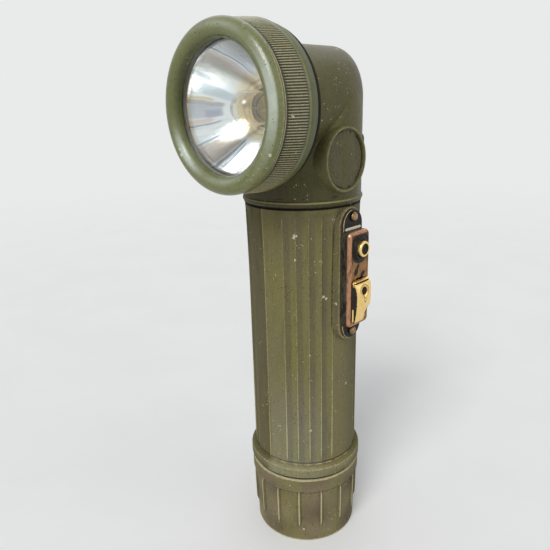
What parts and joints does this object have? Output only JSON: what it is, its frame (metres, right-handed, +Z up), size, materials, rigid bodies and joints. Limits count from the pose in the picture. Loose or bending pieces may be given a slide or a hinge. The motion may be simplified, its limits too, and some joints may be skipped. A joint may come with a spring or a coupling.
{
  "type": "flashlight",
  "caption": "Right-angle olive drab flashlight: ribbed screw tail cap, fluted battery tube, slide switch with signal button, elbow head, knurled bezel ring and belt clip",
  "frame": {"origin": "centre of the tail cap's flat base, on which the flashlight stands", "axes": "+Z up the battery tube; the lens looks along -Y; the switch is on the +X side and the belt clip at the back, on +Y"},
  "size_m": [0.0554, 0.0688, 0.1938],
  "materials": {
    "head_plastic": "moulded, satin, scuffed",
    "tube_plastic": "moulded, satin, worn ridges",
    "cap_plastic": "moulded, dull, worn ribs",
    "bezel_plastic": "moulded, satin with a glossy lip",
    "rubber": "aged",
    "clear_lens": "clear",
    "bulb_glass": "clear",
    "mirror_coat": "bright mirror coat",
    "brass": "worn",
    "copper_plate": "copper wash under worn black paint",
    "spring_steel": "plated",
    "black_steel": "black, worn edges",
    "fibre_board": "pressed fibre board",
    "cell_jacket": "plain jacket, bare of words"
  },
  "bodies": {
    "tail": {"tail_cap": "cap_plastic", "tail_contact": "brass", "tail_spring": "spring_steel", "lower_cell": "cell_jacket", "upper_cell": "cell_jacket"},
    "seal": {"tail_gasket": "rubber"},
    "housing": {"battery_tube": "tube_plastic", "contact_carrier": "fibre_board", "centre_contact": "brass", "body_strip": "brass", "lamp_strip": "brass", "switch_plate": "copper_plate", "switch_rivet_upper": "brass", "switch_rivet_lower": "brass", "button_spring": "spring_steel", "head_housing": "head_plastic", "head_gasket": "rubber", "belt_clip": "black_steel", "clip_rivet_lower": "black_steel", "clip_rivet_upper": "black_steel"},
    "switch_slide": {"slide_switch": "brass", "slider_contact": "brass"},
    "signal_button": {"push_button": "brass"},
    "lens_pack": {"lens": "clear_lens", "lens_gasket": "rubber", "reflector": "mirror_coat", "bulb_glass": "bulb_glass", "bulb_base": "brass", "bulb_retainer": "spring_steel"},
    "bezel": {"bezel_ring": "bezel_plastic"}
  },
  "joints": [
    {"name": "tail_travel", "type": "slide", "parent": "tail", "child": "seal", "axis": [0, 0, 1], "range_m": [0, 0.00901]},
    {"name": "tail_turn", "type": "hinge", "parent": "seal", "child": "housing", "pos_m": [0, 0, 0.02], "axis": [0, 0, 1], "range_deg": [0, 1080]},
    {"name": "bezel_travel", "type": "slide", "parent": "housing", "child": "lens_pack", "axis": [0, -1, 0], "range_m": [0, 0.00601]},
    {"name": "bezel_turn", "type": "hinge", "parent": "lens_pack", "child": "bezel", "pos_m": [0, -0.03, 0.1672], "axis": [0, -1, 0], "range_deg": [0, 1080]},
    {"name": "slide_switch_travel", "type": "slide", "parent": "housing", "child": "switch_slide", "axis": [0, 0, 1], "range_m": [0, 0.006]},
    {"name": "button_press", "type": "slide", "parent": "housing", "child": "signal_button", "axis": [-1, 0, 0], "range_m": [0, 0.0015], "stiffness_N_per_m": 800, "springref_m": -0.001, "deforming": ["button_spring"]}
  ],
  "couplings": [
    {"joint": "tail_travel", "follows": "tail_turn", "m_per_rad": 0.00047746},
    {"joint": "bezel_travel", "follows": "bezel_turn", "m_per_rad": 0.00031831}
  ]
}
